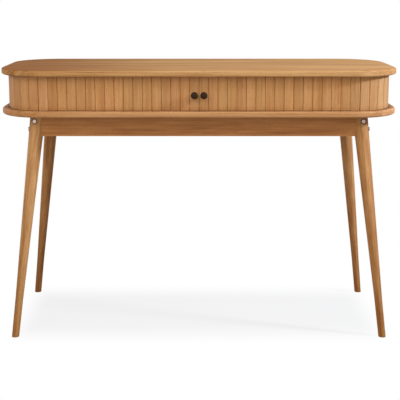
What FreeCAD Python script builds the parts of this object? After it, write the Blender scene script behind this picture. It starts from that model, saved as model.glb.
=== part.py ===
"""Tambour desk: a shallow slatted case with rounded ends on four splayed legs.

Frame: the origin is on the floor under the middle of the desk, +X runs to the
right along the front, +Y runs to the back and +Z is up. Lengths are in mm.
"""
import FreeCAD
import Part

import math
import os
import re

import Sketcher
from FreeCAD import Placement, Rotation, Vector

# Driving sizes, written once and kept in the spreadsheet
SIZES = {
    # Case
    "desk_width": 1190,
    "desk_depth": 450,
    "desk_height": 812,
    "corner_radius": 138,
    "board_thickness": 19,
    "board_edge_round": 6,
    "wall_height": 100,
    # Tambour slats
    "slat_inset": 21,
    "slat_thickness": 8,
    "slat_gap": 0.6,
    "slat_bevel": 1.0,
    "shoulder_gap": 0.3,
    "tail_setback": 2.5,
    "door_slats": 29,
    "straight_slats": 11,
    "travel_slats": 6,
    # Tongues and the grooves they run in
    "tongue_length": 6,
    "tongue_thickness": 3,
    "tongue_height": 4,
    "groove_play": 0.4,
    "groove_depth": 5,
    "groove_relief": 5.6,
    # Canvas behind the slats
    "canvas_thickness": 0.8,
    "canvas_margin": 9,
    "canvas_gap": 0.1,
    # Fixed walls of the case
    "back_thickness": 18,
    "liner_setback": 10,
    "liner_thickness": 9,
    "liner_lap": 30,
    "divider_thickness": 15,
    "divider_setback": 16,
    # Legs: how far their axes stand in from the boards' edges, at the case and at the floor
    "leg_top_inset_x": 114.5,
    "leg_top_inset_y": 75,
    "leg_foot_inset_x": 36,
    "leg_foot_inset_y": 17,
    "leg_top_diameter": 45,
    "leg_ankle_diameter": 23.5,
    "leg_ankle_height": 125,
    "leg_foot_diameter": 22,
    # Aprons between the legs
    "apron_height": 62,
    "apron_thickness": 20,
    "apron_offset": 5,
    "cope_gap": 0.2,
    # Bolts through the legs into barrel nuts in the aprons
    "end_bolt_drop": 17,
    "long_bolt_drop": 42,
    "bolt_diameter": 6,
    "bolt_head_diameter": 11,
    "bolt_head_height": 6,
    "bolt_socket_width": 5,
    "bolt_socket_depth": 3,
    "bolt_seat_depth": 5,
    "recess_diameter": 17,
    "bore_play": 0.4,
    "nut_diameter": 10,
    "nut_length": 14,
    "nut_reach": 30,
    "nut_play": 0.2,
    "bolt_end": 10,
    # Knobs on the two leading slats
    "knob_diameter": 21,
    "knob_neck_diameter": 11,
    "knob_neck_length": 7,
    "knob_flare_length": 4,
    "knob_rim_length": 4,
    "knob_dome_length": 4,
    "knob_face_diameter": 15,
    "knob_drop": 4,
    "stud_diameter": 4,
    "stud_length": 6.5,
    "stud_play": 0.2,
    # One overrun serves every cut that has to pass right through
    "overrun": 4,
}


def axis_at(size, axis, share):
    """Returns how far a leg's axis stands from the middle, at a share of the way down."""
    half = size["desk_width" if axis == "x" else "desk_depth"] / 2
    top = half - size[f"leg_top_inset_{axis}"]
    foot = half - size[f"leg_foot_inset_{axis}"]
    return top + share * (foot - top)


def derived_sizes(size):
    """Returns the sizes that follow from the driving ones, for the same sheet."""
    straight = size["desk_width"] / 2 - size["corner_radius"]
    end_run = size["desk_depth"] - 2 * size["corner_radius"]
    canvas_inset = size["slat_inset"] + size["slat_thickness"]
    canvas_radius = size["corner_radius"] - canvas_inset
    path = straight + canvas_radius * math.pi / 2 + end_run
    pitch = (path - size["tail_setback"]) / size["door_slats"]
    wall_base = size["desk_height"] - size["board_thickness"] - size["wall_height"]
    leg_height = wall_base - size["board_thickness"]
    return {
        "straight_run": straight,
        "end_run": end_run,
        "canvas_inset": canvas_inset,
        "canvas_radius": canvas_radius,
        "slat_pitch": pitch,
        "slat_width": pitch - size["slat_gap"],
        "slat_height": size["wall_height"] - 2 * size["shoulder_gap"],
        "groove_inset": size["slat_inset"] + size["slat_thickness"] / 2,
        "groove_half": size["tongue_thickness"] / 2 + size["groove_play"],
        "relief_start": straight - size["travel_slats"] * pitch + pitch / 2,
        "wall_base": wall_base,
        "wall_top": wall_base + size["wall_height"],
        "leg_height": leg_height,
        "apron_base": leg_height - size["apron_height"],
        "end_bolt_height": leg_height - size["end_bolt_drop"],
        "long_bolt_height": leg_height - size["long_bolt_drop"],
        "leg_top_x": axis_at(size, "x", 0),
        "leg_top_y": axis_at(size, "y", 0),
        "bolt_length": (size["leg_top_diameter"] - size["bolt_seat_depth"]
                        + size["nut_reach"] + size["bolt_end"]),
        "end_apron_x": axis_at(size, "x", size["end_bolt_drop"] / leg_height) + size["apron_offset"],
        "long_apron_y": axis_at(size, "y", size["long_bolt_drop"] / leg_height) + size["apron_offset"],
        "knob_projection": (size["knob_neck_length"] + size["knob_flare_length"]
                            + size["knob_rim_length"] + size["knob_dome_length"]),
        "knob_height": wall_base + size["wall_height"] / 2 - size["knob_drop"],
    }


ALL_SIZES = {**SIZES, **derived_sizes(SIZES)}
LEGS = {"front_left": (-1, -1), "front_right": (1, -1), "back_left": (-1, 1), "back_right": (1, 1)}
DOORS = {"left": -1, "right": 1}
UP = Vector(0, 0, 1)

doc = FreeCAD.newDocument("tambour_desk")
nodes = []


# Sheet and expressions

def fill_sheet():
    """Writes every size into the spreadsheet under its own alias."""
    sheet = doc.addObject("Spreadsheet::Sheet", "dims")
    for row, (name, value) in enumerate(ALL_SIZES.items(), start=1):
        sheet.set(f"A{row}", name)
        sheet.set(f"B{row}", str(value))
        sheet.setAlias(f"B{row}", name)
    doc.recompute()


def bind(item, prop, text):
    """Binds a property to an expression written with the sheet's aliases."""
    def cell(match):
        word = match.group()
        return f"dims.{word}" if word in ALL_SIZES else word

    item.setExpression(prop, re.sub(r"[a-z_]+", cell, text))


def node(item, label):
    """Keeps an object as a finished sub-part under its own label."""
    item.Label = label
    nodes.append(item)
    return item


# Sketches and features

def new_body(name):
    return doc.addObject("PartDesign::Body", name)


def new_sketch(body, name, role="XY_Plane", lift="0"):
    """Adds a sketch on one of the body's own planes, lifted along its normal."""
    sketch = body.newObject("Sketcher::SketchObject", f"{body.Name}_{name}")
    plane = next(item for item in body.Origin.OriginFeatures if item.Role == role)
    sketch.AttachmentSupport = [(plane, "")]
    sketch.MapMode = "FlatFace"
    bind(sketch, "AttachmentOffset.Base.z", lift)
    return sketch


def pin(sketch, line, kind, axis, text):
    """Holds a line's start point on an axis, or at a bound distance from the origin."""
    if text == "0":
        sketch.addConstraint(Sketcher.Constraint("PointOnObject", line, 1, axis))
        return
    start = sketch.Geometry[line].StartPoint
    value = start.x if kind == "DistanceX" else start.y
    index = sketch.addConstraint(Sketcher.Constraint(kind, -1, 1, line, 1, value))
    bind(sketch, f"Constraints[{index}]", text)


def polygon(sketch, corners):
    """Draws a closed outline whose corners are pairs of expressions."""
    count = len(corners)
    turns = [2 * math.pi * (step + 1 / 3) / count for step in range(count)]
    points = [Vector(math.cos(turn), math.sin(turn), 0) for turn in turns]
    for step in range(count):
        sketch.addGeometry(Part.LineSegment(points[step], points[(step + 1) % count]), False)
    for step in range(count):
        sketch.addConstraint(Sketcher.Constraint("Coincident", step, 2, (step + 1) % count, 1))
    for step, (across, along) in enumerate(corners):
        pin(sketch, step, "DistanceX", -2, across)
        pin(sketch, step, "DistanceY", -1, along)


def plan_outline(sketch, inset):
    """Draws the desk's rounded plan, moved inwards by an expression."""
    first = sketch.GeometryCount
    half = Vector(ALL_SIZES["straight_run"], ALL_SIZES["end_run"] / 2, 0)
    radius = ALL_SIZES["corner_radius"]
    for quarter, (side_x, side_y) in enumerate(((1, -1), (1, 1), (-1, 1), (-1, -1))):
        centre = Vector(side_x * half.x, side_y * half.y, 0)
        start = (quarter - 1) * math.pi / 2
        circle = Part.Circle(centre, UP, radius)
        sketch.addGeometry(Part.ArcOfCircle(circle, start, start + math.pi / 2), False)
    for quarter in range(4):
        arc = sketch.Geometry[first + quarter]
        after = sketch.Geometry[first + (quarter + 1) % 4]
        sketch.addGeometry(Part.LineSegment(arc.EndPoint, after.StartPoint), False)
    for quarter in range(4):
        line = first + 4 + quarter
        sketch.addConstraint(Sketcher.Constraint("Tangent", first + quarter, 2, line, 1))
        sketch.addConstraint(Sketcher.Constraint("Tangent", line, 2, first + (quarter + 1) % 4, 1))
        sketch.addConstraint(Sketcher.Constraint("Vertical" if quarter % 2 == 0 else "Horizontal", line))
    for quarter in range(1, 4):
        sketch.addConstraint(Sketcher.Constraint("Equal", first, first + quarter))
    sketch.addConstraint(Sketcher.Constraint("Symmetric", first, 3, first + 2, 3, -1, 1))
    dimension(sketch, Sketcher.Constraint("DistanceX", -1, 1, first, 3, half.x), "straight_run")
    dimension(sketch, Sketcher.Constraint("DistanceY", first, 3, -1, 1, half.y), "end_run / 2")
    dimension(sketch, Sketcher.Constraint("Radius", first, radius), f"corner_radius - ({inset})")


def dimension(sketch, constraint, text):
    index = sketch.addConstraint(constraint)
    bind(sketch, f"Constraints[{index}]", text)


def pad(body, sketch, length):
    feature = body.newObject("PartDesign::Pad", f"{sketch.Name}_pad")
    feature.Profile = sketch
    bind(feature, "Length", length)
    return feature


def pocket(body, sketch, depth, upwards=False):
    feature = body.newObject("PartDesign::Pocket", f"{sketch.Name}_pocket")
    feature.Profile = sketch
    feature.Reversed = upwards
    bind(feature, "Length", depth)
    return feature


def turned(name, profile):
    """Makes a body turned about its own Z axis from pairs of radius and height."""
    body = new_body(name)
    sketch = new_sketch(body, "profile", "XZ_Plane")
    polygon(sketch, profile)
    feature = body.newObject("PartDesign::Revolution", f"{name}_turned")
    feature.Profile = sketch
    feature.ReferenceAxis = (sketch, ["V_Axis"])
    return body


def ring(name, outer_inset, inner_inset, height):
    """Makes a standing band that follows the plan outline between two insets."""
    body = new_body(name)
    sketch = new_sketch(body, "band")
    plan_outline(sketch, outer_inset)
    plan_outline(sketch, inner_inset)
    pad(body, sketch, height)
    return body


def box(name, low, span):
    """Makes a box from expressions for its low corner and its three spans."""
    item = doc.addObject("Part::Box", name)
    for prop, text in zip(("Length", "Width", "Height"), span):
        bind(item, prop, text)
    for axis, text in zip("xyz", low):
        bind(item, f"Placement.Base.{axis}", text)
    return item


def combine(kind, name, first, second):
    """Adds a Part::Cut or Part::Common of two objects."""
    item = doc.addObject(f"Part::{kind}", name)
    item.Base = first
    item.Tool = second
    return item


def fuse(name, items):
    item = doc.addObject("Part::MultiFuse", name)
    item.Shapes = items
    return item


# Case boards

def board(label, base, grooved_above):
    """Makes one rounded board with the tambour's groove on its inner face."""
    blank = new_body(f"{label}_blank")
    bind(blank, "Placement.Base.z", base)
    outline = new_sketch(blank, "outline")
    plan_outline(outline, "0")
    slab = pad(blank, outline, "board_thickness")
    doc.recompute()
    rims = [f"Edge{number}" for number, edge in enumerate(slab.Shape.Edges, start=1)
            if abs(edge.Vertexes[0].Z - edge.Vertexes[-1].Z) < Part.Precision.confusion()]
    rounding = blank.newObject("PartDesign::Fillet", f"{label}_rounding")
    rounding.Base = (slab, rims)
    bind(rounding, "Radius", "board_edge_round")
    groove = new_sketch(blank, "groove", lift="board_thickness" if grooved_above else "0")
    plan_outline(groove, "groove_inset - groove_half")
    plan_outline(groove, "groove_inset + groove_half")
    pocket(blank, groove, "groove_depth", upwards=not grooved_above)
    floor = f"{base} + board_thickness - groove_depth" if grooved_above else base
    node(combine("Cut", f"{label}_solid", blank, relief(label, floor)), label)


def relief(label, floor):
    """Makes the wider groove that the slats need where they turn the corners."""
    wide = ring(f"{label}_relief_ring", "groove_inset - groove_half - groove_relief",
                "groove_inset + groove_half + groove_relief", "groove_depth")
    bind(wide, "Placement.Base.z", floor)
    front = box(f"{label}_front_keep", ("-relief_start", "-desk_depth / 2", floor),
                ("2 * relief_start", "desk_depth / 2", "groove_depth"))
    back = box(f"{label}_back_keep", ("-straight_run", "0", floor),
               ("2 * straight_run", "desk_depth / 2", "groove_depth"))
    keep = fuse(f"{label}_keep", [front, back])
    return combine("Cut", f"{label}_relief", wide, keep)


# Fixed walls of the case

def liner(side, sign):
    """Makes the bent liner inside one end and its rear corner."""
    band = ring(f"{side}_liner_ring", "canvas_inset + liner_setback",
                "canvas_inset + liner_setback + liner_thickness", "wall_height")
    bind(band, "Placement.Base.z", "wall_base")
    low_x = "straight_run - liner_lap" if sign > 0 else "-desk_width / 2"
    window = box(f"{side}_liner_window", (low_x, "-end_run / 2", "wall_base"),
                 ("corner_radius + liner_lap", "desk_depth / 2 + end_run / 2", "wall_height"))
    node(combine("Common", f"{side}_liner_solid", band, window), f"{side}_liner")


def tongued(body, half_width, back_face, height, tongue_half):
    """Draws a bevelled stave with a tongue at both ends; its Y axis points inwards."""
    section = new_sketch(body, "section")
    outer = "-slat_thickness"
    polygon(section, (
        (f"-({half_width}) + slat_bevel", outer),
        (f"{half_width} - slat_bevel", outer),
        (half_width, f"{outer} + slat_bevel"),
        (half_width, f"{back_face} - slat_bevel"),
        (f"{half_width} - slat_bevel", back_face),
        (f"-({half_width}) + slat_bevel", back_face),
        (f"-({half_width})", f"{back_face} - slat_bevel"),
        (f"-({half_width})", f"{outer} + slat_bevel"),
    ))
    stave = pad(body, section, height)
    tongue = new_sketch(body, "tongue", lift="-tongue_height")
    near = "-slat_thickness / 2 - tongue_thickness / 2"
    far = "-slat_thickness / 2 + tongue_thickness / 2"
    polygon(tongue, ((f"-({tongue_half})", near), (tongue_half, near),
                     (tongue_half, far), (f"-({tongue_half})", far)))
    return section, [stave, pad(body, tongue, f"{height} + 2 * tongue_height")]


def back_panel():
    """Makes the flat panel between the rear corners, housed in the groove."""
    panel = new_body("back_panel")
    tongued(panel, "straight_run - slat_gap", "back_thickness - slat_thickness", "wall_height",
            "straight_run - slat_gap - overrun")
    panel.Placement.Rotation = Rotation(UP, 180)
    bind(panel, "Placement.Base.y", "desk_depth / 2 - canvas_inset")
    bind(panel, "Placement.Base.z", "wall_base")
    node(panel, "back_panel")


def centre_divider():
    """Makes the upright that carries the top board in the middle."""
    front = "-desk_depth / 2 + canvas_inset + divider_setback"
    depth = "desk_depth - canvas_inset - divider_setback - slat_inset - back_thickness"
    node(box("centre_divider", ("-divider_thickness / 2", front, "wall_base"),
             ("divider_thickness", depth, "wall_height")), "centre_divider")


# Tambour doors

def path_point(distance):
    """Returns the canvas line's point and heading at a distance from the middle of the front."""
    straight = ALL_SIZES["straight_run"]
    radius = ALL_SIZES["canvas_radius"]
    front = -ALL_SIZES["desk_depth"] / 2 + ALL_SIZES["canvas_inset"]
    arc = radius * math.pi / 2
    if distance <= straight:
        return Vector(distance, front, 0), 0.0
    if distance <= straight + arc:
        turn = (distance - straight) / radius
        return Vector(straight + radius * math.sin(turn), front + radius * (1 - math.cos(turn)), 0), turn
    return Vector(straight + radius, front + radius + distance - straight - arc, 0), math.pi / 2


def seat_slat(body, number, sign):
    """Places a slat's body on the canvas line of the left or right door."""
    point, heading = path_point((number + 0.5) * ALL_SIZES["slat_pitch"])
    base = Vector(sign * point.x, point.y, ALL_SIZES["wall_base"] + ALL_SIZES["shoulder_gap"])
    body.Placement = Placement(base, Rotation(UP, sign * math.degrees(heading)))


def slat(name):
    body = new_body(name)
    section, features = tongued(body, "slat_width / 2", "0", "slat_height", "tongue_length / 2")
    return body, section, features


def lead_slat(side, sign):
    """Makes the slat at the meeting line, bored for its knob."""
    body, _, _ = slat(f"{side}_lead_blank")
    seat_slat(body, 0, sign)
    bore = turned(f"{side}_stud_bore", (
        ("0", "-overrun"), ("stud_diameter / 2 + stud_play", "-overrun"),
        ("stud_diameter / 2 + stud_play", "stud_length + stud_play"), ("0", "stud_length + stud_play")))
    bore.Placement = knob_place(sign, inwards=True)
    node(combine("Cut", f"{side}_lead_solid", body, bore), f"{side}_lead_slat")


def front_slats(side, sign):
    """Makes the slats that stay on the straight front, as one row."""
    body, section, features = slat(f"{side}_front_slats")
    row = body.newObject("PartDesign::LinearPattern", f"{side}_front_row")
    row.Originals = features
    row.Direction = (section, ["H_Axis"])
    row.Reversed = sign < 0
    bind(row, "Length", "(straight_slats - 2) * slat_pitch")
    bind(row, "Occurrences", "straight_slats - 1")
    body.Tip = row
    seat_slat(body, 1, sign)
    node(body, f"{side}_front_slats")


def canvas(side, sign):
    """Makes the cloth behind one door's slats."""
    band = ring(f"{side}_canvas_ring", "canvas_inset + canvas_gap",
                "canvas_inset + canvas_gap + canvas_thickness", "slat_height - 2 * canvas_margin")
    base = "wall_base + shoulder_gap + canvas_margin"
    bind(band, "Placement.Base.z", base)
    low_x = "slat_gap / 2" if sign > 0 else "-desk_width / 2"
    window = box(f"{side}_canvas_window", (low_x, "-desk_depth / 2", base),
                 ("desk_width / 2 - slat_gap / 2", "desk_depth / 2 + end_run / 2 - tail_setback",
                  "slat_height - 2 * canvas_margin"))
    node(combine("Common", f"{side}_canvas_solid", band, window), f"{side}_canvas")


def knob_place(sign, inwards):
    """Returns the frame on a leading slat's face whose Z axis points in or out."""
    point = Vector(sign * ALL_SIZES["slat_pitch"] / 2,
                   -ALL_SIZES["desk_depth"] / 2 + ALL_SIZES["slat_inset"], ALL_SIZES["knob_height"])
    return Placement(point, Rotation(UP, Vector(0, 1 if inwards else -1, 0)))


def knob(side, sign):
    """Makes a turned knob with the stud that screws into its slat."""
    body = turned(f"{side}_knob", (
        ("0", "-stud_length"), ("stud_diameter / 2", "-stud_length"), ("stud_diameter / 2", "0"),
        ("knob_neck_diameter / 2", "0"), ("knob_neck_diameter / 2", "knob_neck_length"),
        ("knob_diameter / 2", "knob_neck_length + knob_flare_length"),
        ("knob_diameter / 2", "knob_projection - knob_dome_length"),
        ("knob_face_diameter / 2", "knob_projection"), ("0", "knob_projection")))
    body.Placement = knob_place(sign, inwards=False)
    node(body, f"{side}_knob")


def door(side, sign):
    """Makes every piece of one tambour door."""
    lead_slat(side, sign)
    front_slats(side, sign)
    for number in range(SIZES["straight_slats"], SIZES["door_slats"]):
        body, _, _ = slat(f"{side}_slat_{number + 1}")
        seat_slat(body, number, sign)
        node(body, f"{side}_slat_{number + 1}")
    canvas(side, sign)
    knob(side, sign)


# Legs and aprons

def leg_axis(height):
    """Returns how far a leg's axis stands from the middle, in X and Y, at a height."""
    share = 1 - height / ALL_SIZES["leg_height"]
    return axis_at(SIZES, "x", share), axis_at(SIZES, "y", share)


def leg_turning(name, signs, extra):
    """Makes one splayed turning, longer than the leg at both ends."""
    foot_x, foot_y = leg_axis(0)
    top_x, top_y = leg_axis(ALL_SIZES["leg_height"])
    foot = Vector(signs[0] * foot_x, signs[1] * foot_y, 0)
    axis = Vector(signs[0] * top_x, signs[1] * top_y, ALL_SIZES["leg_height"]) - foot
    body = turned(name, (
        ("0", "-overrun"), (f"leg_foot_diameter / 2 + {extra}", "-overrun"),
        (f"leg_ankle_diameter / 2 + {extra}", "leg_ankle_height"),
        (f"leg_top_diameter / 2 + {extra}", "leg_height + 2 * overrun"),
        ("0", "leg_height + 2 * overrun")))
    body.Placement = Placement(foot, Rotation(UP, axis))
    return body


def bolt_frames(signs):
    """Returns the seats of a leg's two bolts: one into the end apron, one into the long apron."""
    seat = SIZES["leg_top_diameter"] / 2 - SIZES["bolt_seat_depth"]
    end_x, end_y = leg_axis(ALL_SIZES["end_bolt_height"])
    long_x, long_y = leg_axis(ALL_SIZES["long_bolt_height"])
    end_seat = Vector(signs[0] * (end_x + SIZES["apron_offset"]), signs[1] * (end_y + seat),
                      ALL_SIZES["end_bolt_height"])
    long_seat = Vector(signs[0] * (long_x + seat), signs[1] * (long_y + SIZES["apron_offset"]),
                       ALL_SIZES["long_bolt_height"])
    return {
        "end": Placement(end_seat, Rotation(UP, Vector(0, -signs[1], 0))),
        "long": Placement(long_seat, Rotation(UP, Vector(-signs[0], 0, 0))),
    }


def bolt_bore(name, place):
    """Makes the bore and head recess that a bolt needs."""
    body = turned(name, (
        ("0", "-leg_top_diameter"), ("recess_diameter / 2", "-leg_top_diameter"),
        ("recess_diameter / 2", "0"), ("bolt_diameter / 2 + bore_play", "0"),
        ("bolt_diameter / 2 + bore_play", "bolt_length + overrun"), ("0", "bolt_length + overrun")))
    body.Placement = place
    return body


def nut_frame(place, inwards):
    """Returns a barrel nut's frame, on the bolt's line with its Z axis towards the inner face."""
    centre = place.multVec(Vector(0, 0, ALL_SIZES["bolt_length"] - SIZES["bolt_end"]))
    along = place.Rotation.multVec(UP)
    return Placement(centre - inwards * (SIZES["nut_length"] / 2), Rotation(along, Vector(), inwards, "ZXY"))


def leg(name, signs, bores):
    """Makes one leg, cut level at the floor and the case, with its bolt bores."""
    turning = leg_turning(f"{name}_leg_turning", signs, "0")
    slab = box(f"{name}_leg_slab", ("-desk_width / 2", "-desk_depth / 2", "0"),
               ("desk_width", "desk_depth", "leg_height"))
    level = combine("Common", f"{name}_leg_level", turning, slab)
    node(combine("Cut", f"{name}_leg_solid", level, fuse(f"{name}_leg_bores", bores)), f"{name}_leg")


def apron(side, kind, cutters):
    """Makes one apron, coped to its two legs and bored for its bolts and nuts."""
    outward = "-1" if side in ("front", "left") else "1"
    if kind == "long":
        low = ("-leg_top_x", f"{outward} * long_apron_y - apron_thickness / 2", "apron_base")
        span = ("2 * leg_top_x", "apron_thickness", "apron_height")
    else:
        low = (f"{outward} * end_apron_x - apron_thickness / 2", "-leg_top_y", "apron_base")
        span = ("apron_thickness", "2 * leg_top_y", "apron_height")
    blank = box(f"{side}_apron_blank", low, span)
    node(combine("Cut", f"{side}_apron_solid", blank, fuse(f"{side}_apron_cuts", cutters)), f"{side}_apron")


def nut_bore(name, place):
    """Makes the hole that lets a barrel nut in from the apron's inner face."""
    item = doc.addObject("Part::Cylinder", name)
    bind(item, "Radius", "nut_diameter / 2 + nut_play")
    bind(item, "Height", "nut_length + apron_thickness")
    item.Placement = place
    return item


def group(label, master, frames):
    """Keeps copies of a hidden master piece as one group of separate solids."""
    doc.recompute()
    item = doc.addObject("Part::Feature", label)
    local = [master.Shape.transformed(frame.toMatrix(), copy=True) for frame in frames]
    item.Shape = Part.makeCompound(local)
    node(item, label)


def bolt_master():
    """Makes one socket-head bolt, its head seat at the origin and its shank along Z."""
    body = turned("bolt_master", (
        ("0", "-bolt_head_height"), ("bolt_head_diameter / 2", "-bolt_head_height"),
        ("bolt_head_diameter / 2", "0"), ("bolt_diameter / 2", "0"),
        ("bolt_diameter / 2", "bolt_length"), ("0", "bolt_length")))
    socket = new_sketch(body, "socket", lift="-bolt_head_height")
    corner = "bolt_socket_width / sqrt(3)"
    polygon(socket, (
        (corner, "0"), (f"{corner} / 2", "bolt_socket_width / 2"),
        (f"-{corner} / 2", "bolt_socket_width / 2"), (f"-{corner}", "0"),
        (f"-{corner} / 2", "-bolt_socket_width / 2"), (f"{corner} / 2", "-bolt_socket_width / 2")))
    pocket(body, socket, "bolt_socket_depth", upwards=True)
    return body


def nut_master():
    """Makes one barrel nut, lying along Z with its threaded cross hole along X."""
    barrel = doc.addObject("Part::Cylinder", "nut_barrel")
    bind(barrel, "Radius", "nut_diameter / 2")
    bind(barrel, "Height", "nut_length")
    hole = doc.addObject("Part::Cylinder", "nut_hole")
    bind(hole, "Radius", "bolt_diameter / 2 + nut_play")
    bind(hole, "Height", "2 * nut_diameter")
    hole.Placement.Rotation = Rotation(UP, Vector(1, 0, 0))
    bind(hole, "Placement.Base.x", "-nut_diameter")
    bind(hole, "Placement.Base.z", "nut_length / 2")
    return combine("Cut", "nut_master", barrel, hole)


def leg_frame():
    """Makes the legs, aprons, bolts and barrel nuts."""
    bolts, nuts, bores, holes, copes = {}, {}, {}, {}, {}
    for name, signs in LEGS.items():
        copes[name] = leg_turning(f"{name}_cope", signs, "cope_gap")
        inner_side = {"end": Vector(-signs[0], 0, 0), "long": Vector(0, -signs[1], 0)}
        for kind, place in bolt_frames(signs).items():
            key = (name, kind)
            bolts[key] = place
            nuts[key] = nut_frame(place, inner_side[kind])
            bores[key] = bolt_bore(f"{name}_{kind}_bore", place)
            holes[key] = nut_bore(f"{name}_{kind}_nut_bore", nuts[key])
        leg(name, signs, [bores[name, "end"], bores[name, "long"]])
    for side in ("front", "back", "left", "right"):
        kind = "long" if side in ("front", "back") else "end"
        corners = [name for name in LEGS if side in name.split("_")]
        cutters = [items[name, kind] for items in (bores, holes) for name in corners]
        apron(side, kind, [copes[name] for name in corners] + cutters)
    group("leg_bolts", bolt_master(), bolts.values())
    group("barrel_nuts", nut_master(), nuts.values())


def build():
    fill_sheet()
    board("top_board", "wall_top", grooved_above=False)
    board("lower_board", "leg_height", grooved_above=True)
    back_panel()
    centre_divider()
    for side, sign in DOORS.items():
        liner(side, sign)
        door(side, sign)
    leg_frame()


def report_and_export():
    """Checks every object, then writes one STEP file for each sub-part."""
    doc.recompute()
    for item in doc.Objects:
        if "Invalid" in item.State or "Error" in item.State:
            raise RuntimeError(f"{item.Label} did not build: {item.State}")
    os.makedirs("parts", exist_ok=True)
    for item in nodes:
        if item.Shape.isNull() or not item.Shape.isValid():
            raise RuntimeError(f"{item.Label} has no valid solid")
        item.Shape.exportStep(f"parts/{item.Label}.step")
    print(len(nodes), "sub-parts,", sum(len(item.Shape.Solids) for item in nodes), "solids")


build()
report_and_export()
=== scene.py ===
# %% [markdown]
# # A tambour desk
# The desk is a shallow case on four splayed legs. Two tambour doors, made of upright oak slats glued to
# canvas, slide round its corners. This lesson dresses the finished solids of the desk for a photograph. The
# solids are loaded as a fixed frame: they are already in metres, with +Z up, so every new piece goes where
# they say.

# %% Load the desk
import math

import bmesh
import bpy
from mathutils import Euler, Matrix, Vector


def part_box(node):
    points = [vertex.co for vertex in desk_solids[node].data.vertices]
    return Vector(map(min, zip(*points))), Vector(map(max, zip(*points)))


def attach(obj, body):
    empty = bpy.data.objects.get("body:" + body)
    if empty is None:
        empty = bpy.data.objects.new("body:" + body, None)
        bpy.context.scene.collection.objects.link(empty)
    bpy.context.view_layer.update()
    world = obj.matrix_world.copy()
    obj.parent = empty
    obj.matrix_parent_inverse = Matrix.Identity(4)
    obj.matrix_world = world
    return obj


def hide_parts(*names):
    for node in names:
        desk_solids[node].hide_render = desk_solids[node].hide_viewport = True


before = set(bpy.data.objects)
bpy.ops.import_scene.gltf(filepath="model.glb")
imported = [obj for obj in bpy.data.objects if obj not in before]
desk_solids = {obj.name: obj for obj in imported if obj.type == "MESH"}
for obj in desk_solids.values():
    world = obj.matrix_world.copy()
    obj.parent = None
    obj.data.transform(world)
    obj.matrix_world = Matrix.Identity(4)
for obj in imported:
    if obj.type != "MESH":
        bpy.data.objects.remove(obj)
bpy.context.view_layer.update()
MM = 0.001
SIDES = {"left": -1, "right": 1}
print("loaded", len(desk_solids), "solids")

# %% [markdown]
# ## The camera
# The photograph was taken from a little above the worktop, nearly square to the front. A camera could be
# placed by eye. Here its place, tilt and lens were found by fitting the edges of the solids to those in the
# photograph. A long lens keeps the legs from flaring. The camera looks down a little, and a small shift
# moves the frame down further, which keeps the uprights nearly parallel.

# %% Camera
IMAGE_SIDE = 400
FOCAL_PIXELS = 912.7
SHIFT_PIXELS = (8.2, -52)
CAMERA_PLACE = (-0.0213, -2.850, 1.0524)
DOWNWARD_TILT = 10.07

lens = bpy.data.cameras.new("photo_camera")
lens.sensor_width = 36
lens.lens = FOCAL_PIXELS * lens.sensor_width / IMAGE_SIDE
lens.shift_x = SHIFT_PIXELS[0] / IMAGE_SIDE
lens.shift_y = SHIFT_PIXELS[1] / IMAGE_SIDE
camera = bpy.data.objects.new("photo_camera", lens)
camera.location = CAMERA_PLACE
camera.rotation_euler = (math.radians(90 - DOWNWARD_TILT), 0, 0)
bpy.context.scene.collection.objects.link(camera)
bpy.context.scene.camera = camera
bpy.context.scene.view_settings.view_transform = "Standard"
print("camera lens", round(lens.lens, 1), "mm")

# %% [markdown]
# ## Nodes and colours
# Every material here is a small tree of nodes. One helper adds a node, sets its settings and links its
# inputs, so a material reads from top to bottom like a recipe. Colours are written as the hex values that a
# paint program shows, and one function turns them into the linear light that the renderer works in.

# %% Helpers for materials
def add_node(tree, kind, settings=None, links=None):
    """Adds one node, gives it its settings and links other nodes' outputs into it."""
    node = tree.nodes.new(kind)
    for name, value in (settings or {}).items():
        if isinstance(name, str) and hasattr(node, name):
            setattr(node, name, value)
        else:
            node.inputs[name].default_value = value
    for name, output in (links or {}).items():
        tree.links.new(output, node.inputs[name])
    return node


def tint(hex_code):
    """Turns an sRGB hex colour into linear red, green, blue and alpha."""
    shares = [int(hex_code[i:i + 2], 16) / 255 for i in (1, 3, 5)]
    return [s / 12.92 if s <= 0.04045 else ((s + 0.055) / 1.055) ** 2.4 for s in shares] + [1]


def new_material(name):
    """Starts a material with an empty tree and its output node."""
    material = bpy.data.materials.new(name)
    material.use_nodes = True
    material.node_tree.nodes.clear()
    return material, material.node_tree, add_node(material.node_tree, "ShaderNodeOutputMaterial")


print("helpers ready")

# %% [markdown]
# ## The studio floor
# The desk stands on seamless white paper. Paper that is merely lit would come out grey, and stronger lamps
# would bleach the wood. So to the camera, and in reflections, the paper is mostly plain white. Between the
# feet a small share of it is grey lit paper, which keeps the desk's soft shadow, and that share fades out
# round the desk, so the grey zone is partly a painted shadow. To all other light it is pale paper that
# throws light back up under the desk.

# %% White floor
WHITE = "#FFFFFF"
SHADOW_SHARE = 0.21
# Distances from the middle, in metres, where the kept shadow ends and where it is full.
SHADOW_FADES = {"X": (0.60, 0.50), "Y": (0.29, 0.11)}
FLOOR_REACH = 40


def seen_directly(tree):
    """Returns an output that is 1 for camera, mirror and glass rays."""
    path = add_node(tree, "ShaderNodeLightPath")
    mirror = add_node(tree, "ShaderNodeMath", {"operation": "MAXIMUM"},
                      {0: path.outputs["Is Camera Ray"], 1: path.outputs["Is Glossy Ray"]})
    glass = add_node(tree, "ShaderNodeMath", {"operation": "MAXIMUM"},
                     {0: mirror.outputs[0], 1: path.outputs["Is Transmission Ray"]})
    return glass.outputs[0]


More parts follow.
